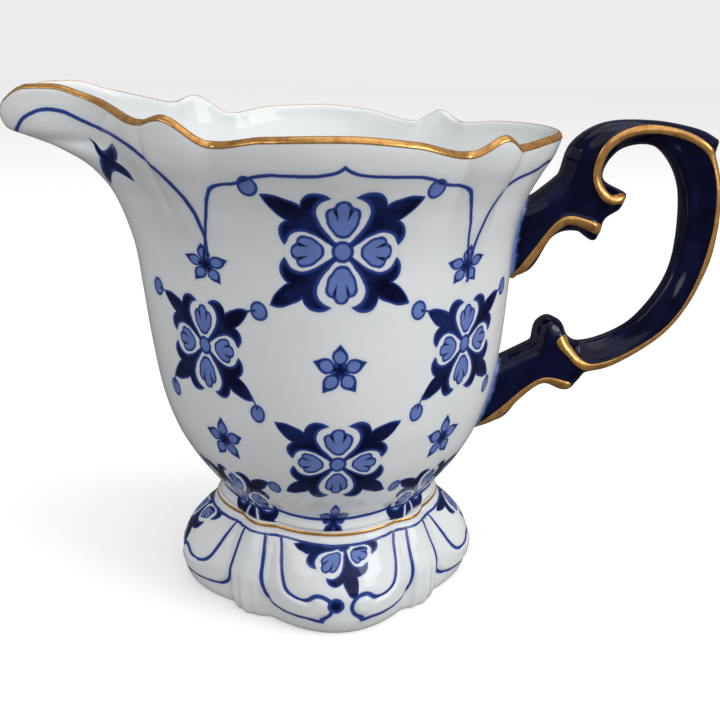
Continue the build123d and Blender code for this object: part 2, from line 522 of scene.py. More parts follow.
def rosette(x, y):
    """Distances outside the dark and the light paint, for x and y of 0 or more."""
    sideways = beyond(x * SIDE_PETAL_SLOPE - y, 0.0)
    a = pick(sideways, y, x * SIDE_PETAL_SHORT - SIDE_PETAL_SHIFT)
    b = pick(sideways, x, y)
    drop_a = pick(sideways, y, x * SIDE_DROP_SHORT)
    drop = outline(drop_a, b * pick(sideways, 1.0, SIDE_DROP_NARROW), DROP_MIDDLE, DROP)
    leaf = highest(outline(x, y, LEAF_MIDDLE, LEAF), -drop)
    way = NOTCH_TOP[0] - NOTCH_FOOT[0], NOTCH_TOP[1] - NOTCH_FOOT[1]
    ua, ub = way[0] / math.hypot(*way), way[1] / math.hypot(*way)
    pa, pb = a - NOTCH_FOOT[0], b - NOTCH_FOOT[1]
    up = pa * ua + pb * ub
    notch = highest(abs(pb * ua - pa * ub) - (up * NOTCH_OPENS + NOTCH_HALF), -up)
    disc = length(x, y * DISC_HEIGHTS)
    dark = lowest(leaf, outline(a, b, DROP_MIDDLE, PALMETTE), disc - DISC)
    light = lowest(highest(outline(a, b, DROP_MIDDLE, PALMETTE_WASH), -notch), disc - DISC_WASH)
    return dark, light


def star(x, y):
    """A star of five petals with one pointing up, 5.4 mm from its middle to a tip."""
    angle = maths("PINGPONG", abs(maths("ARCTAN2", x, y)), math.pi / 5)
    reach = length(x, y)
    p = reach * maths("COSINE", angle)
    q = reach * maths("SINE", angle)
    return q - curve(p, PETAL), q - curve(p, PETAL_WASH)


def bead(x, y):
    away = length(x, y)
    return away - BEAD_RADIUS, away - (BEAD_RADIUS - BEAD_EDGE)


def dash(x, y, start, end, thickness):
    """Distance outside a short straight line."""
    dx, dy = end[0] - start[0], end[1] - start[1]
    share = ((x - start[0]) * dx + (y - start[1]) * dy) * (1 / (dx * dx + dy * dy))
    share = highest(lowest(share, 1.0), 0.0)
    return length(x - start[0] - share * dx, y - start[1] - share * dy) - thickness / 2


def unless(switch):
    """A distance that keeps paint away where the switch is 1, and allows it where it is 0."""
    return switch * (2 * NO_PAINT) - NO_PAINT


def union(*motifs):
    return lowest(*[m[0] for m in motifs]), lowest(*[m[1] for m in motifs])


# ---- Pattern of the body ----
CORNER_STAR = 41.8  # where the stars of the corners are, in degrees from the front or back
PER_DEGREE = 0.685  # millimetres of pattern for each degree around the axis
HALF_FACE = 45 * PER_DEGREE
# the motifs are told apart by level; each pair is for the lower and the upper one, and
# the first pair or number is for the middle of a face, the second for a corner
ROSETTE_SPLIT = 55.5, 40.0
ROSETTE_LEVELS = (35.4, 77.6), (20.0, 56.6)
ROSETTE_HEIGHTS = (0.88, 1.0), (0.8, 0.88)  # as a share of the width
CORNER_ROSETTE_NARROW = 1.06
STAR_SPLIT = 39.0, 56.0
STAR_LEVELS = (17.4, 55.3), (37.0, 73.0)
CORNER_STAR_SCALE = 0.86  # pattern millimetres to a degree there, as a share of those elsewhere
HIGH_STAR_FLAT = 1.3
# beads from the lowest up: how far from the middle of the face, and level
BEADS = [(16.7, 26.8), (17.4, 45.2), (15.9, 65.9), (15.3, 89.1)]
BEAD_SPLITS = [36.0, 55.0, 78.0]
BEAD_TIES = [((16.8, 65.8), (18.9, 65.3)), ((17.5, 46.2), (18.6, 48.4))]  # from beads to leaf tips
TIE_THICK, LINE_THICK, SPOUT_LINE_THICK = 0.5, 0.65, 0.72
TOP_LINE_FOOT = 72.5  # level where it ends
TOP_LINE = [
    (0.0, 93.1, SHARP), (1.0, 92.35), (3.0, 91.8), (6.5, 91.5), (10.0, 91.45), (13.0, 91.1), (15.5, 90.3),
    (18.0, 89.4), (20.8, 88.9), (22.3, 88.2), (23.6, 86.3), (25.2, 82.6), (27.2, 77.8), (29.2, 73.2),
]
# the lines of the side faces, seen from the front: distance from the axis towards the
# spout or the handle, and height
SPOUT_LINE = [
    (22.5, 73.0), (23.5, 80.5), (27.5, 87.5), (34.5, 93.0), (45.5, 97.0), (51.0, 98.5), (55.5, 97.5),
    (59.0, 94.0),
]
HANDLE_LINE = [(23.5, 70.5), (24.5, 77.5), (27.5, 85.0), (30.5, 88.0), (36.5, 90.0), (39.0, 91.0)]
SPOUT_LINE_START, SPOUT_LINE_END, SPOUT_LINE_FOOT = 22.3, 59.1, 72.4
HANDLE_LINE_START, HANDLE_LINE_FOOT = 23.1, 70.4
SPOUT_STAR_START = 30.0
SPOUT_STAR_MIDDLE = (40.6, 90.0)
# its last two points meet where the angle about its middle wraps round
SPOUT_STAR = [
    (44.7, 94.0, SHARP), (41.3, 91.9), (39.1, 93.4, SHARP), (35.7, 86.8, SHARP), (39.8, 88.0),
    (41.2, 85.4, SHARP), (42.3, 90.4), (38.9, 90.01), (38.9, 89.99),
]
# where the blue of the handle runs out onto the wall: height, half height, half width
HANDLE_ROOTS = [(74.4, 8.8, 5.9), (39.6, 6.6, 5.9)]
ROOT_ROUND, ROOT_EDGE = 3.6, 0.25
COLLAR_LINE, COLLAR_LINE_HALF = 17.7, 0.36
LIGHT_FOOT = 17.9  # no light paint below this level
LEVEL_KEYS = [(20.0, 15.2), (22.3, 17.6), (26.2, 21.4), (30.4, 26.6), (38.0, 35.2), (47.0, 45.0),
              (56.7, 54.8), (67.0, 66.0), (78.0, 77.6), (87.5, 87.8), (93.0, 93.7), (110.0, 111.0)]


def root_wash(x, y, z, height, half_height, half_width):
    """The wash around a root of the handle, with a thin darker edge."""
    aside = highest(abs(y) - (half_width - ROOT_ROUND), 0.0)
    above = highest(abs(z - height) - (half_height - ROOT_ROUND), 0.0)
    ring = length(aside, above) - ROOT_ROUND + (1 - beyond(x, 0.0)) * NO_PAINT
    return ring, ring + ROOT_EDGE


def by_tier(on_corner, high, tiers):
    """The number for the lower or the upper motif of a face or of a corner."""
    on_face, at_corner = tiers
    return pick(on_corner, pick(high, *on_face), pick(high, *at_corner))


def body_pattern(x, y, z):
    """Distances outside the dark and the light paint of the body."""
    turn = maths("DEGREES", maths("ARCTAN2", y, x))
    level = curve(z, LEVEL_KEYS)
    face = maths("PINGPONG", turn, 45.0) * PER_DEGREE
    corner = HALF_FACE - face
    on_corner = beyond(face, HALF_FACE / 2)
    on_side = beyond(abs(x), abs(y))
    across = pick(on_corner, face, corner)
    high = beyond(level, pick(on_corner, *ROSETTE_SPLIT))
    middle = by_tier(on_corner, high, ROSETTE_LEVELS)
    rise = maths("DIVIDE", level - middle, by_tier(on_corner, high, ROSETTE_HEIGHTS))
    flower = rosette(across * pick(on_corner, 1.0, CORNER_ROSETTE_NARROW), abs(rise))
    no_flower = on_side * (1 - on_corner) * NO_PAINT
    flower = flower[0] + no_flower, flower[1] + no_flower

    star_high = beyond(level, pick(on_corner, *STAR_SPLIT))
    star_middle = by_tier(on_corner, star_high, STAR_LEVELS)
    from_front = 90.0 - maths("PINGPONG", turn, 90.0)
    aside = (from_front - CORNER_STAR) * (PER_DEGREE * CORNER_STAR_SCALE)
    flat = pick(star_high * on_corner, 1.0, HIGH_STAR_FLAT)
    stars = star(pick(on_corner, across, aside), (level - star_middle) * flat)

    bead_face, bead_level = BEADS[0]
    for split, (next_face, next_level) in zip(BEAD_SPLITS, BEADS[1:]):
        above = beyond(level, split)
        bead_face = pick(above, bead_face, next_face)
        bead_level = pick(above, bead_level, next_level)
    beads = bead(face - bead_face, level - bead_level)
    no_bead = above * on_side * NO_PAINT
    beads = beads[0] + no_bead, beads[1] + no_bead

    ties = [dash(face, level, start, end, TIE_THICK) for start, end in BEAD_TIES]
    top = highest(stroke(face, level, TOP_LINE, LINE_THICK), unless(on_side), TOP_LINE_FOOT - level)
    spout = stroke(-x, z, SPOUT_LINE, SPOUT_LINE_THICK)
    spout = highest(spout, x + SPOUT_LINE_START, -x - SPOUT_LINE_END, SPOUT_LINE_FOOT - z)
    handle = stroke(x, z, HANDLE_LINE, LINE_THICK)
    handle = highest(handle, HANDLE_LINE_START - x, HANDLE_LINE_FOOT - z)
    collar = abs(level - COLLAR_LINE) - COLLAR_LINE_HALF
    lines = lowest(top, spout, handle, collar, *ties)
    under_spout = outline(-x, z, SPOUT_STAR_MIDDLE, SPOUT_STAR)
    under_spout = highest(under_spout, x + SPOUT_STAR_START)
    dark, light = union(flower, stars, beads, *[root_wash(x, y, z, *root) for root in HANDLE_ROOTS])
    return lowest(dark, lines, under_spout), highest(light, LIGHT_FOOT - level, -lines)


# ---- Pattern of the foot ----
ACROSS_FOOT = 0.49  # millimetres along the foot for each degree around the axis
CLIMB_KEYS = [(0.0, 0.0), (1.2, 1.5), (4.3, 4.4), (8.5, 8.4), (12.5, 12.7), (15.7, 16.9), (18.0, 21.2),
              (18.6, 21.9), (20.0, 23.4)]
SCROLL_MIDDLE = (0.0, 14.0)
SCROLL_OUTER = [
    (0.0, 3.9), (5.0, 3.85), (8.6, 3.85), (12.5, 4.1), (15.6, 4.9), (17.2, 6.6), (17.8, 9.2), (18.0, 13.0),
    (18.3, 17.0), (18.7, 21.5),
]
SCROLL_INNER = [
    (0.0, 7.7), (4.0, 7.7), (7.0, 7.7), (9.3, 7.9), (11.3, 8.9), (12.5, 10.9), (13.1, 13.0), (13.7, 16.0),
    (14.6, 21.5),
]
SCROLL_END, SCROLL_CURL, CURL_RADIUS = 4.0, (4.2, 6.75), 2.3
SCROLL_FILLET = 1.2
SCROLL_LINE_HALF = 0.44
FLOWER_SHIFT = 1.1
DOT_MIDDLE, DOT_RADIUS = (-1.2, 7.3), 1.65
FOOT_COLLAR, FOOT_COLLAR_HALF = 20.3, 0.4
DARK_TOP, LIGHT_TOP = 20.7, 18.6  # how far up the foot its paint goes
FLOWER_TOP = 20.1
FLOWER_SIZE = 0.73
FLOWER_TILT = 0.22


def foot_scroll(across, climb):
    """Distance outside the raised scroll bands that frame a main lobe of the foot."""
    outer_edge = outline(across, climb, SCROLL_MIDDLE, SCROLL_OUTER)
    inner_edge = outline(across, climb, SCROLL_MIDDLE, SCROLL_INNER)
    band = highest(outer_edge, -inner_edge, SCROLL_END - across)
    curl = length(across - SCROLL_CURL[0], climb - SCROLL_CURL[1]) - CURL_RADIUS
    return rounded_union(band, curl, SCROLL_FILLET)


def foot_pattern(x, y, z):
    """Distances outside the dark and the light paint of the foot."""
    turn = maths("DEGREES", maths("ARCTAN2", y, x))
    climb = curve(z, CLIMB_KEYS)
    along = maths("WRAP", turn - FOOT_TURN, 45.0, -45.0) * ACROSS_FOOT
    band = abs(foot_scroll(abs(along), climb)) - SCROLL_LINE_HALF
    dot = length(along - DOT_MIDDLE[0], climb - DOT_MIDDLE[1]) - DOT_RADIUS
    diagonal = math.sqrt(0.5) / FLOWER_SIZE
    u = (along - FLOWER_SHIFT) * diagonal
    v = (climb - FLOWER_TOP - FLOWER_TILT * (along - FLOWER_SHIFT)) * diagonal
    flower = rosette(abs(u - v), abs(u + v))
    collar = abs(climb - FOOT_COLLAR) - FOOT_COLLAR_HALF
    dark = lowest(flower[0], dot, band, collar)
    return highest(dark, climb - DARK_TOP), highest(flower[1], climb - LIGHT_TOP)


# ---- Materials ----
PORCELAIN = (0.67, 0.685, 0.69)
WASH = (0.125, 0.19, 0.46)
EDGE_BLUE = (0.022, 0.05, 0.24)
DEEP_BLUE = (0.0015, 0.002, 0.022)
HANDLE_BLUE = (0.0012, 0.0014, 0.013)
GOLD = (0.70, 0.37, 0.11)
GLAZE_IOR = 1.36
# an unsteady hand: millimetres astray, and waves to the millimetre
SLOW_WOBBLE = 1.1, 0.09
FINE_WOBBLE = 0.16, 0.55


def tinted(colour, shares):
    return tuple(c * share for c, share in zip(colour, shares))


class Palette:
    """A new material and the nodes it is made of."""

    def __init__(self, name):
        self.material = bpy.data.materials.new(name)
        self.material.use_nodes = True
        self.tree = self.material.node_tree
        self.shader = self.tree.nodes["Principled BSDF"]

    def node(self, kind, *sources, **settings):
        return new_node(self.tree, kind, *sources, **settings)

    def ink(self, socket):
        return Ink(self.tree, socket)

    def place(self):
        """The place on the object, in millimetres."""
        where = self.node("ShaderNodeTexCoord").outputs["Object"]
        return self.node("ShaderNodeVectorMath", where, None, None, 1 / MM, operation="SCALE").outputs[0]

    def split(self, vector):
        return [self.ink(socket) for socket in self.node("ShaderNodeSeparateXYZ", vector).outputs]

    def noise(self, vector, scale, detail=2.0, roughness=0.5):
        return self.node("ShaderNodeTexNoise", vector, None, scale, detail, roughness)

    def wobbled(self, vector, amount, scale):
        """The place moved a little, as an unsteady hand does."""
        noise = self.noise(vector, scale).outputs["Color"]
        step = self.node("ShaderNodeVectorMath", noise, (0.5, 0.5, 0.5), operation="SUBTRACT").outputs[0]
        reach = (amount, amount, amount)
        return self.node("ShaderNodeVectorMath", step, reach, vector, operation="MULTIPLY_ADD").outputs[0]

    def number(self, name):
        node = self.node("ShaderNodeAttribute", attribute_name=name)
        return self.ink(node.outputs["Fac"])

    def blend(self, share, under, over):
        """One colour over another, each a colour or a socket, by a share from 0 to 1."""
        colours = [(*colour, 1) if isinstance(colour, tuple) else colour for colour in (under, over)]
        return self.node("ShaderNodeMix", share.socket, *[None] * 5, *colours, data_type="RGBA").outputs[2]

    def colour(self, socket):
        self.tree.links.new(socket, self.shader.inputs["Base Color"])

    def roughness(self, ink):
        self.tree.links.new(ink.socket, self.shader.inputs["Roughness"])

    def bump(self, height, distance, strength=1.0):
        node = self.node("ShaderNodeBump", strength, distance * MM, None, height.socket)
        self.tree.links.new(node.outputs[0], self.shader.inputs["Normal"])


def glaze(palette, vector):
    """Clear gloss over everything: nearly smooth, with the faint waves of a dipped glaze."""
    palette.shader.inputs["IOR"].default_value = GLAZE_IOR
    waves = palette.ink(palette.noise(vector, 0.11, 1.0).outputs["Fac"])
    pits = palette.ink(palette.noise(vector, 2.2, 2.0).outputs["Fac"])
    palette.roughness(ramp(pits, 0.25, 0.8, 0.05, 0.12))
    palette.bump(waves + pits * 0.04, 0.5, 0.5)


def painted_porcelain(name, pattern):
    """White porcelain under glaze, with the cobalt painting of the pattern."""
    palette = Palette(name)
    vector = palette.place()
    astray = palette.wobbled(palette.wobbled(vector, *SLOW_WOBBLE), *FINE_WOBBLE)
    dark, light = pattern(*palette.split(astray))
    painted = palette.number("painted")
    brush = palette.ink(palette.noise(vector, 0.35, 3.0, 0.6).outputs["Fac"])
    pool = palette.ink(palette.noise(vector, 0.16, 2.0).outputs["Fac"])
    warmth = palette.ink(palette.noise(vector, 0.05, 2.0).outputs["Fac"])
    cooler = tinted(PORCELAIN, (0.97, 0.98, 0.985))
    colour = palette.blend(ramp(warmth, 0.3, 0.7), PORCELAIN, cooler)
    colour = palette.blend(ramp(dark, 1.1, 0.0, 0.0, 0.13) * painted, colour, WASH)
    ink_edge = ramp(dark, 0.13, -0.13)
    deep = ramp(dark, -0.12, -1.1) * ramp(pool, 0.25, 0.7, 0.72, 1.0)
    ink_colour = palette.blend(deep, EDGE_BLUE, DEEP_BLUE)
    brushed = tinted(WASH, (0.62, 0.62, 0.62))
    wash_colour = palette.blend(ramp(brush, 0.3, 0.75, 0.0, 0.4), WASH, brushed)
    ink_colour = palette.blend(ramp(light, 0.16, -0.2), ink_colour, wash_colour)
    palette.colour(palette.blend(ink_edge * painted, colour, ink_colour))
    glaze(palette, vector)
    return palette.material


# ---- Jug body ----
COLUMNS = 360
OUTER_ROWS = 130
LIP_STEPS = 8
FINE_ROWS, PATH_STEPS = 900, 400  # for finding the rim, and for evening out the rows
INNER_ROUNDS = 30


def rim_height(x):
    return smooth_through(x, RIM_LINE[:, 0], RIM_LINE[:, 1])


def body_outer():
    """Rows of the outer wall, from the joint up to the rim."""
    angle = np.arange(COLUMNS) * 360 / COLUMNS
    height = np.linspace(JOINT, TRIM, FINE_ROWS)[:, None]
    fine = polar(angle[None, :], body_radius(angle[None, :], height), height + 0 * angle[None, :])
    above = fine[:, :, 2] - rim_height(fine[:, :, 0])
    path = np.empty((PATH_STEPS, COLUMNS, 3))
    for c in range(COLUMNS):
        top = np.argmax(above[:, c] > 0)
        share = above[top - 1, c] / (above[top - 1, c] - above[top, c])
        at = np.linspace(0, top - 1 + share, PATH_STEPS)
        for k in range(3):
            path[:, c, k] = np.interp(at, np.arange(len(fine)), fine[:, c, k])
    return even_steps(path, OUTER_ROWS)


outer = body_outer()
outward = grid_normals(outer)
inner = relaxed(outer - outward * WALL, INNER_ROUNDS)
up_way = outer[-1] - outer[-2]
up_way /= np.linalg.norm(up_way, axis=-1, keepdims=True)
lip_centre = outer[-1] - outward[-1] * WALL / 2


def lip_row(turn, proud=0.0):
    """A row of the rounded lip, from 0 on the outside to pi on the inside."""
    return lip_centre + (WALL / 2 + proud) * (outward[-1] * math.cos(turn) + up_way * math.sin(turn))


def make_body():
    lip = [lip_row(turn) for turn in np.linspace(0, math.pi, LIP_STEPS + 1)]
    inside = [row for row in inner[-2::-2] if row[:, 2].min() > WELL_FLOOR + 2]
    centre = np.array([0, 0, WELL_FLOOR - 1])
    floor_rows = [
        centre + (inside[-1] - centre) * np.array([s, s, s**3]) for s in np.linspace(0.93, 0.06, 10)
    ]
    base = [outer[0] * np.array([s, s, 1]) for s in (0.3, 0.8)]
    rows = base + list(outer) + lip[1:] + inside + floor_rows
    piece = turned_mesh("jug_body_glazed", rows)
    painted = np.zeros((len(rows), COLUMNS))
    painted[2:len(base) + OUTER_ROWS] = 1
    number_on(piece, "painted", np.append(painted.ravel(), [0, 0]))
    return piece


body = make_body()

# ---- Pedestal foot ----
FOOT_WALL = 3.0
FOOT_ROOF = 13.5
FOOT_COLUMNS = 480
FOOT_ROWS = 100
RIB_PROUD = 0.5  # how far the scrolls of the foot stand proud
FLUTE_DEPTH = 0.3
FLUTE_TURN = 6.5  # degrees from one flute of the corners to the next


def foot_relief(angle, height):
    """How far the moulding of the foot stands out from its plain shape."""
    climb = curve(height, CLIMB_KEYS)
    along = (angle + 45) % 90 - 45
    across = np.abs(along) * ACROSS_FOOT
    rib = RIB_PROUD * ramp(-foot_scroll(across, climb), -0.1, 1.3) * ramp(climb, 22.0, 19.0)
    from_corner = 45 - np.abs(along)
    fluted = ramp(from_corner, 11.5, 8.5) * ramp(climb, 15.0, 5.0)
    flutes = FLUTE_DEPTH * fluted * (0.5 + 0.5 * np.cos(np.radians(from_corner * 360 / FLUTE_TURN)))
    return rib + flutes - FLUTE_DEPTH / 2 * fluted


def make_foot():
    angle = np.arange(FOOT_COLUMNS) * 360 / FOOT_COLUMNS
    height = np.concatenate([np.linspace(JOINT, 1.4, FOOT_ROWS), [1.0, 0.7, 0.45]])[:, None]
    radius = foot_radius(angle[None, :], height) + foot_relief(angle[None, :], height)
    wall = polar(angle[None, :] + FOOT_TURN, radius, height + 0 * angle[None, :])
    rows = [wall[0] * np.array([s, s, 1]) for s in (0.3, 0.8)] + list(wall)
    base = polar(angle + FOOT_TURN, radius[-1], np.zeros(FOOT_COLUMNS))
    reach = np.linalg.norm(base[:, :2], axis=1, keepdims=True)
    for inset, lift in ((0.25, 0.15), (0.7, 0.0), (2.3, 0.0), (2.75, 0.15), (3.0, 0.6)):
        rows.append(np.concatenate([base[:, :2] * (1 - inset / reach), np.full_like(reach, lift)], axis=1))
    for level in np.linspace(2, FOOT_ROOF - 2, 8):
        level = np.full(FOOT_COLUMNS, level)
        rows.append(polar(angle + FOOT_TURN, foot_radius(angle, level) - FOOT_WALL, level))
    under = rows[-1]
    rows += [under * np.array([s, s, 1]) + np.array([0, 0, rise])
             for s, rise in ((0.97, 1.0), (0.9, 1.7), (0.8, 2.0), (0.4, 2.0))]
    piece = turned_mesh("pedestal_foot_glazed", rows[::-1])
    painted = np.zeros((len(rows), FOOT_COLUMNS))
    painted[2:2 + len(wall)] = 1
    number_on(piece, "painted", np.append(painted[::-1].ravel(), [0, 0]))
    return piece


foot = make_foot()

# ---- Handle ----
# its outline between corners, in the plane through the spout and the handle: X and height
HANDLE_RUNS = [
    [(32.4, 80.2), (39.5, 82.0), (43.0, 84.3), (45.9, 86.7)],
    [(45.9, 86.7), (48.1, 93.0), (54.5, 97.0), (64.4, 97.5), (73.4, 96.0), (77.8, 93.9)],
    [(77.8, 93.9), (77.2, 91.4)],
    [(77.2, 91.4), (79.6, 82.1), (78.5, 68.0), (71.6, 55.0), (60.9, 47.1), (54.2, 45.1)],
    [(54.2, 45.1), (52.4, 42.8), (49.8, 41.3), (45.1, 42.8), (40.6, 39.3), (36.7, 35.0), (27.5, 32.2)],
    [(27.5, 32.2), (29.2, 45.8)],
    [(29.2, 45.8), (35.8, 48.6), (42.6, 52.0)],
    [(42.6, 52.0), (43.3, 55.8), (46.0, 57.5), (48.4, 55.5), (52.9, 52.0), (64.0, 56.8),
     (70.8, 68.0), (71.1, 83.4), (65.5, 92.1), (57.5, 91.5), (54.5, 86.4), (59.7, 83.2)],
    [(59.7, 83.2), (58.7, 80.0), (55.7, 77.8), (53.9, 73.4), (50.0, 75.4), (45.2, 74.2),
     (40.5, 67.1), (32.4, 65.8)],
    [(32.4, 65.8), (32.4, 80.2)],
]
# the gilt ridges and the groove, in the same plane
LONG_RIDGE = [
    (59.0, 82.5), (55.0, 82.5), (52.5, 87.0), (54.5, 93.0), (62.0, 96.0), (72.0, 94.0), (77.0, 88.0),
    (78.0, 75.5), (73.5, 59.5), (65.0, 51.0), (55.0, 47.0), (49.5, 51.0), (48.0, 54.0),
]
UPPER_RIDGE = [(37.0, 65.5), (42.0, 72.5), (45.5, 77.0), (48.5, 78.0), (54.5, 76.0)]
LOWER_RIDGE = [(31.0, 33.0), (37.5, 38.5), (41.5, 42.0), (45.5, 44.0), (51.0, 42.5)]
GROOVE = [
    (58.5, 93.0), (64.0, 94.0), (70.0, 92.5), (74.5, 82.5), (74.5, 74.5), (69.5, 60.5), (63.0, 54.5),
    (53.0, 50.5),
]
KNOB = (46.6, 54.4, 2.7)  # its middle and its radius
KNOB_ACROSS = 0.8  # distances across the handle count for this much, so it bulges sideways
KNOB_FILLET = 0.6
HANDLE_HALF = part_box("handle")[1][1] / MM  # half its thickness
CHEEK_DEPTH = 0.6  # how far its sides lie inside that, between the ridges
EDGE_ROUND = 3.4
RIDGE_WIDTH, RIDGE_PROUD = 0.95, 0.5
GROOVE_WIDTH, GROOVE_DEPTH = 1.9, 1.3
FILLET = 1.6  # where the handle meets the wall
FILLET_LIFT, FILLET_REACH = 0.12, 2.5
SUNK = 1.0  # how deep the handle reaches into the wall
OUTLINE_STEP = 0.6
CELL = 0.42  # size of the cells of the grid that the handle is made on
GRID_START, GRID_END = (26.0, -9.0, 28.0), (83.0, 9.0, 99.0)


def handle_outline():
    runs = [smooth_line(run, OUTLINE_STEP)[:-1] for run in HANDLE_RUNS]
    return np.concatenate(runs)


def handle_field():
    """Distance outside the handle on a grid, and what its other pieces need."""
    start = np.array(GRID_START)
    count = np.ceil((np.array(GRID_END) - start) / CELL).astype(int)
    x, z = np.meshgrid(start[0] + CELL * np.arange(count[0]), start[2] + CELL * np.arange(count[2]),
                       indexing="ij")
    edge = handle_outline()
    beyond_edge = distance_to_line(x, z, np.concatenate([edge, edge[:1]]))
    beyond_edge[inside_line(x, z, edge)] *= -1
    ridges = [smooth_line(line) for line in (LONG_RIDGE, UPPER_RIDGE, LOWER_RIDGE)]
    from_ridge = np.minimum.reduce([distance_to_line(x, z, line) for line in ridges])
    from_groove = distance_to_line(x, z, smooth_line(GROOVE))
    thick = HANDLE_HALF - CHEEK_DEPTH + RIDGE_PROUD * np.exp(-((from_ridge / RIDGE_WIDTH) ** 4))
    thick -= GROOVE_DEPTH * np.exp(-((from_groove / GROOVE_WIDTH) ** 2))
    y = (start[1] + CELL * np.arange(count[1]))[None, :, None]
    side = beyond_edge[:, None, :] + EDGE_ROUND
    face = np.abs(y) - (thick[:, None, :] - EDGE_ROUND)
    field = np.minimum(np.maximum(side, face), 0)
    field += np.hypot(np.maximum(side, 0), np.maximum(face, 0)) - EDGE_ROUND
    from_knob = (x - KNOB[0])[:, None, :] ** 2 + (z - KNOB[1])[:, None, :] ** 2
    ball = np.sqrt(from_knob + (KNOB_ACROSS * y) ** 2) - KNOB[2]
    field = rounded_union(field, ball, KNOB_FILLET)
    radius = np.hypot(x[:, None, :], y)
    angle = np.degrees(np.arctan2(y, x[:, None, :]))
    off_wall = radius - body_radius(angle, np.clip(z, JOINT, TRIM)[:, None, :])
    near = np.maximum(off_wall + FILLET_LIFT, field - FILLET_REACH)
    field = np.maximum(rounded_union(field, near, FILLET), -(off_wall + SUNK))
    return start, field, off_wall


grid_start, field, off_wall = handle_field()
handle, handle_points = skin("handle_glazed", field, grid_start, CELL)


# ---- Gilding ----
LEAF_PROUD = 0.09
LEAF_DEEP, RIM_DEEP = 0.35, 0.3
GILT_HALF = 0.9
GILT_STEP = 0.35
GILT_END = 3.0  # how far the wider ends of a band reach
GILT_WAIST, GILT_WAIST_REACH = 0.55, 25.0  # share of a band to its waist, and how far that reaches
# the ridge of a band, how much wider its start and its end are, and how much narrower its waist
GILT_BANDS = [(LONG_RIDGE, 0.1, 0.6, 0.35), (UPPER_RIDGE, 0.0, 0.3, 0.0), (LOWER_RIDGE, 0.0, 0.3, 0.0)]
PROBE_STEP, PROBE_REACH = 0.1, 7.5
COLLAR = 19.2  # height of the gold line, just under the joint
# half its height, how far its middle lies under the skin, and half its thickness
COLLAR_HALF, COLLAR_SUNK, COLLAR_THICK = 0.42, 0.12, 0.3


def sampled(grid, points):
    """The value of a grid of the handle at any places, by straight lines between its own."""
    at = np.clip((points - grid_start) / CELL, 0, np.array(grid.shape) - 1.001)
    low = at.astype(int)
    share = at - low
    total = 0
    for i, j, k in ((i, j, k) for i in (0, 1) for j in (0, 1) for k in (0, 1)):
        weight = np.prod(np.where((i, j, k), share, 1 - share), axis=-1)
        total = total + weight * grid[low[..., 0] + i, low[..., 1] + j, low[..., 2] + k]
    return total


def handle_front(x, z):
    """How far the skin of the handle is from its middle plane."""
    y = np.arange(0, PROBE_REACH, PROBE_STEP)
    depth = sampled(field, np.stack(np.broadcast_arrays(x[..., None], y, z[..., None]), axis=-1))
    last = np.maximum((depth < 0).sum(axis=-1), 1)
    here = np.take_along_axis(depth, last[..., None] - 1, -1)[..., 0]
    after = np.take_along_axis(depth, last[..., None], -1)[..., 0]
    share = np.clip(-here / np.where(after > here, after - here, 1), 0, 1)
    return (last - 1 + share) * PROBE_STEP


def gilt_ribbon(line, start_wide, end_wide, narrowing, side):
    """Closed rows of a thin band of gold over a ridge of the handle."""
    middle = smooth_line(line, GILT_STEP)
    way = np.gradient(middle, axis=0)
    way /= np.linalg.norm(way, axis=1, keepdims=True)
    run = np.concatenate([[0], np.cumsum(np.linalg.norm(np.diff(middle, axis=0), axis=1))])
    left = run[-1] - run
    wider = start_wide * np.exp(-((run / GILT_END) ** 2)) + end_wide * np.exp(-((left / GILT_END) ** 2))
    half = GILT_HALF * (1 + wider)
    half *= 1 - narrowing * np.exp(-(((run - run[-1] * GILT_WAIST) / GILT_WAIST_REACH) ** 2))
    from_end = np.clip(np.minimum(run, left) / half, 0.0, 1)
    half *= np.sqrt(1 - (1 - from_end) ** 2 + 0.01)
    across = np.linspace(-1, 1, 9)
    x = middle[:, :1] - way[:, 1:] * half[:, None] * across
    z = middle[:, 1:] + way[:, :1] * half[:, None] * across
    y = handle_front(x, z)
    top = np.stack([x, side * (y + LEAF_PROUD), z], axis=-1)
    under = np.stack([x, side * (y - LEAF_DEEP), z], axis=-1)
    rows = np.concatenate([top, under[:, ::-1]], axis=1)
    return rows if side > 0 else rows[:, ::-1]


def make_handle_gilding():
    """Bands of gold over the ridges of both sides of the handle."""
    points, faces = [], []
    for rows in [gilt_ribbon(*band, side) for side in (-1, 1) for band in GILT_BANDS]:
        more_points, more_faces = turned_shell(rows)
        faces += [tuple(len(points) + i for i in face) for face in more_faces]
        points += more_points
    return add_piece("handle_gilding", points, faces)


def make_rim_gilding():
    turns = np.linspace(math.pi * 0.08, math.pi * 0.5, 8)
    rows = [lip_row(turn, LEAF_PROUD) for turn in turns]
    rows += [lip_row(turn, -RIM_DEEP) for turn in turns[::-3]]
    return turned_mesh("rim_gilding", rows, close=False)


def make_collar_gilding():
    """The gold line around the foot, just under the joint."""
    angle = np.arange(COLUMNS) * 360 / COLUMNS
    radius = foot_radius(angle, np.full(COLUMNS, COLLAR))
    rows = []
    for turn in np.linspace(0, 2 * math.pi, 12, endpoint=False):
        height = np.full(COLUMNS, COLLAR + COLLAR_HALF * math.sin(turn))
        rows.append(polar(angle + FOOT_TURN, radius - COLLAR_SUNK + COLLAR_THICK * math.cos(turn), height))
    return turned_mesh("collar_gilding", rows, close=False)


gilding = [make_handle_gilding(), make_rim_gilding(), make_collar_gilding()]


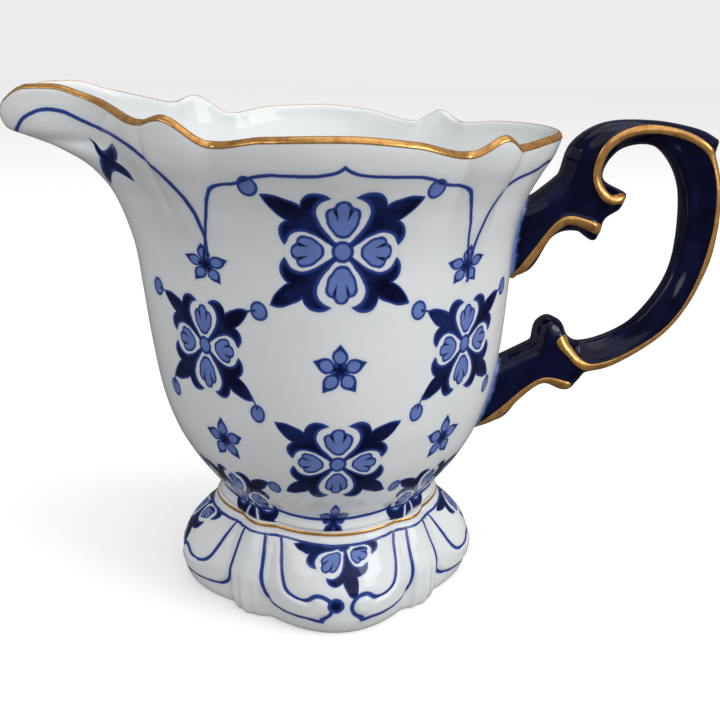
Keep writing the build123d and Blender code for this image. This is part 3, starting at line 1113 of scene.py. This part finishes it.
# ---- Finishes of the handle and the gilding ----
def cobalt_glaze():
    """Deep blue, a little lighter in places, that runs out into a wash at the wall."""
    palette = Palette("cobalt_glaze")
    vector = palette.place()
    thin = palette.ink(palette.noise(vector, 0.2, 3.0).outputs["Fac"])
    streaks = palette.ink(palette.noise(vector, 0.7, 3.0, 0.6).outputs["Fac"])
    root = palette.number("off_wall") + (streaks - 0.5) * 1.4
    colour = palette.blend(ramp(thin, 0.35, 0.8, 0.0, 0.12), HANDLE_BLUE, EDGE_BLUE)
    colour = palette.blend(ramp(root, 1.3, 0.1), colour, WASH)
    palette.colour(colour)
    glaze(palette, vector)
    return palette.material


def gold():
    """Burnished gold, brushed on thin: brown where it has worn."""
    palette = Palette("gilding")
    vector = palette.place()
    wear = palette.ink(palette.noise(vector, 0.5, 4.0, 0.65).outputs["Fac"])
    grain = palette.ink(palette.noise(vector, 3.0, 2.0).outputs["Fac"])
    worn = tinted(GOLD, (0.62, 0.5, 0.45))
    palette.colour(palette.blend(ramp(wear, 0.42, 0.72), GOLD, worn))
    palette.shader.inputs["Metallic"].default_value = 0.65
    palette.roughness(ramp(wear, 0.3, 0.8, 0.16, 0.34))
    palette.bump(wear + grain * 0.3, 0.08)
    return palette.material


def finish(piece, material, node=None):
    piece.data.materials.append(material)
    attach(piece, "root")
    if node:
        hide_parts(node)


number_on(handle, "off_wall", sampled(off_wall, handle_points))

finish(body, painted_porcelain("painted_porcelain", body_pattern), "jug_body")
finish(foot, painted_porcelain("foot_porcelain", foot_pattern), "pedestal_foot")
finish(handle, cobalt_glaze(), "handle")
gilt = gold()
for piece in gilding:
    finish(piece, gilt)

# ---- Stage ----
CAMERA_AWAY = 199.0
CAMERA_HEIGHT = 110.3
CAMERA_ROUND = 3.04  # how far the camera stands to the left of the front, in degrees
CAMERA_YAW = 4.9
CAMERA_PITCH = 17.4
CAMERA_ROLL = 1.14
FLOOR_REACH, FLOOR_WHITE, FLOOR_GLOW = 3.0, 0.9, 0.2
SKY_LIGHT, LOW_LIGHT = 0.62, 0.36  # brightness of the surroundings above and below
MIRRORED = 0.25  # share of it that shows in the glaze
BACKDROP = 0.84  # what the camera sees of it
turn = math.radians(CAMERA_ROUND)
camera_data = bpy.data.cameras.new("camera")
camera_data.lens = 49.92
camera_data.sensor_width = 36.0
camera_data.clip_start = 0.01
camera = add_object("camera", camera_data)
camera.location = Vector((-CAMERA_AWAY * math.sin(turn), -CAMERA_AWAY * math.cos(turn), CAMERA_HEIGHT)) * MM
looking = Euler((math.radians(90 - CAMERA_PITCH), 0, -math.radians(CAMERA_YAW))).to_matrix()
camera.rotation_euler = (looking @ Matrix.Rotation(math.radians(CAMERA_ROLL), 3, "Z")).to_euler()
bpy.context.scene.camera = camera

floor_mesh = bpy.data.meshes.new("floor")
floor_corners = [(x * FLOOR_REACH, y * FLOOR_REACH, 0) for x, y in ((-1, -1), (1, -1), (1, 1), (-1, 1))]
floor_mesh.from_pydata(floor_corners, [], [(0, 1, 2, 3)])
floor = add_object("floor", floor_mesh)
matt = Palette("floor")
matt.shader.inputs["Base Color"].default_value = (FLOOR_WHITE, FLOOR_WHITE, FLOOR_WHITE, 1)
matt.shader.inputs["Roughness"].default_value = 0.6
matt.shader.inputs["Emission Color"].default_value = (1, 1, 1, 1)
matt.shader.inputs["Emission Strength"].default_value = FLOOR_GLOW
floor.data.materials.append(matt.material)
# the floor neither lights the jug nor shows in its glaze, so the lower parts stay darker
floor.visible_diffuse = False
floor.visible_glossy = False

world = bpy.data.worlds.new("studio")
world.use_nodes = True
backdrop = world.node_tree.nodes["Background"]
backdrop.inputs["Color"].default_value = (1, 1, 1, 1)


def world_node(kind, *sources, **settings):
    return new_node(world.node_tree, kind, *sources, **settings)


ray = world_node("ShaderNodeLightPath")
way = world_node("ShaderNodeTexCoord")
height = world_node("ShaderNodeSeparateXYZ", way.outputs["Generated"]).outputs["Z"]
sky_share = world_node("ShaderNodeMapRange", height, -0.4, 0.5, LOW_LIGHT, SKY_LIGHT).outputs[0]
glossy = ray.outputs["Is Glossy Ray"]
mirrored = world_node("ShaderNodeMapRange", glossy, 0.0, 1.0, 1.0, MIRRORED).outputs[0]
dimmed = world_node("ShaderNodeMath", sky_share, mirrored, operation="MULTIPLY").outputs[0]
seen = ray.outputs["Is Camera Ray"]
strength = world_node("ShaderNodeMix", seen, None, dimmed, BACKDROP).outputs[0]
world.node_tree.links.new(strength, backdrop.inputs["Strength"])
bpy.context.scene.world = world
bpy.context.scene.view_settings.view_transform = "Standard"


def softbox(name, where, size, power):
    data = bpy.data.lights.new(name, "AREA")
    data.shape = "RECTANGLE"
    data.size, data.size_y = size
    data.energy = power
    lamp = add_object(name, data)
    lamp.location = where
    lamp.rotation_euler = (Vector((0, 0, 0.05)) - Vector(where)).to_track_quat("-Z", "Y").to_euler()


softbox("overhead_light", (0.1, 0.1, 0.9), (0.8, 0.8), 1.8)
softbox("window_light", (0.8, -0.45, 0.4), (0.5, 0.6), 4.5)
softbox("left_light", (-0.75, -0.5, 0.45), (0.5, 0.5), 2.0)

sky_data = bpy.data.lights.new("sky_light", "SUN")
sky_data.energy = 0.9
sky_data.angle = math.radians(80)
sky = add_object("sky_light", sky_data)
sky.rotation_euler = Vector((0.45, -0.7, 0.8)).to_track_quat("Z", "Y").to_euler()
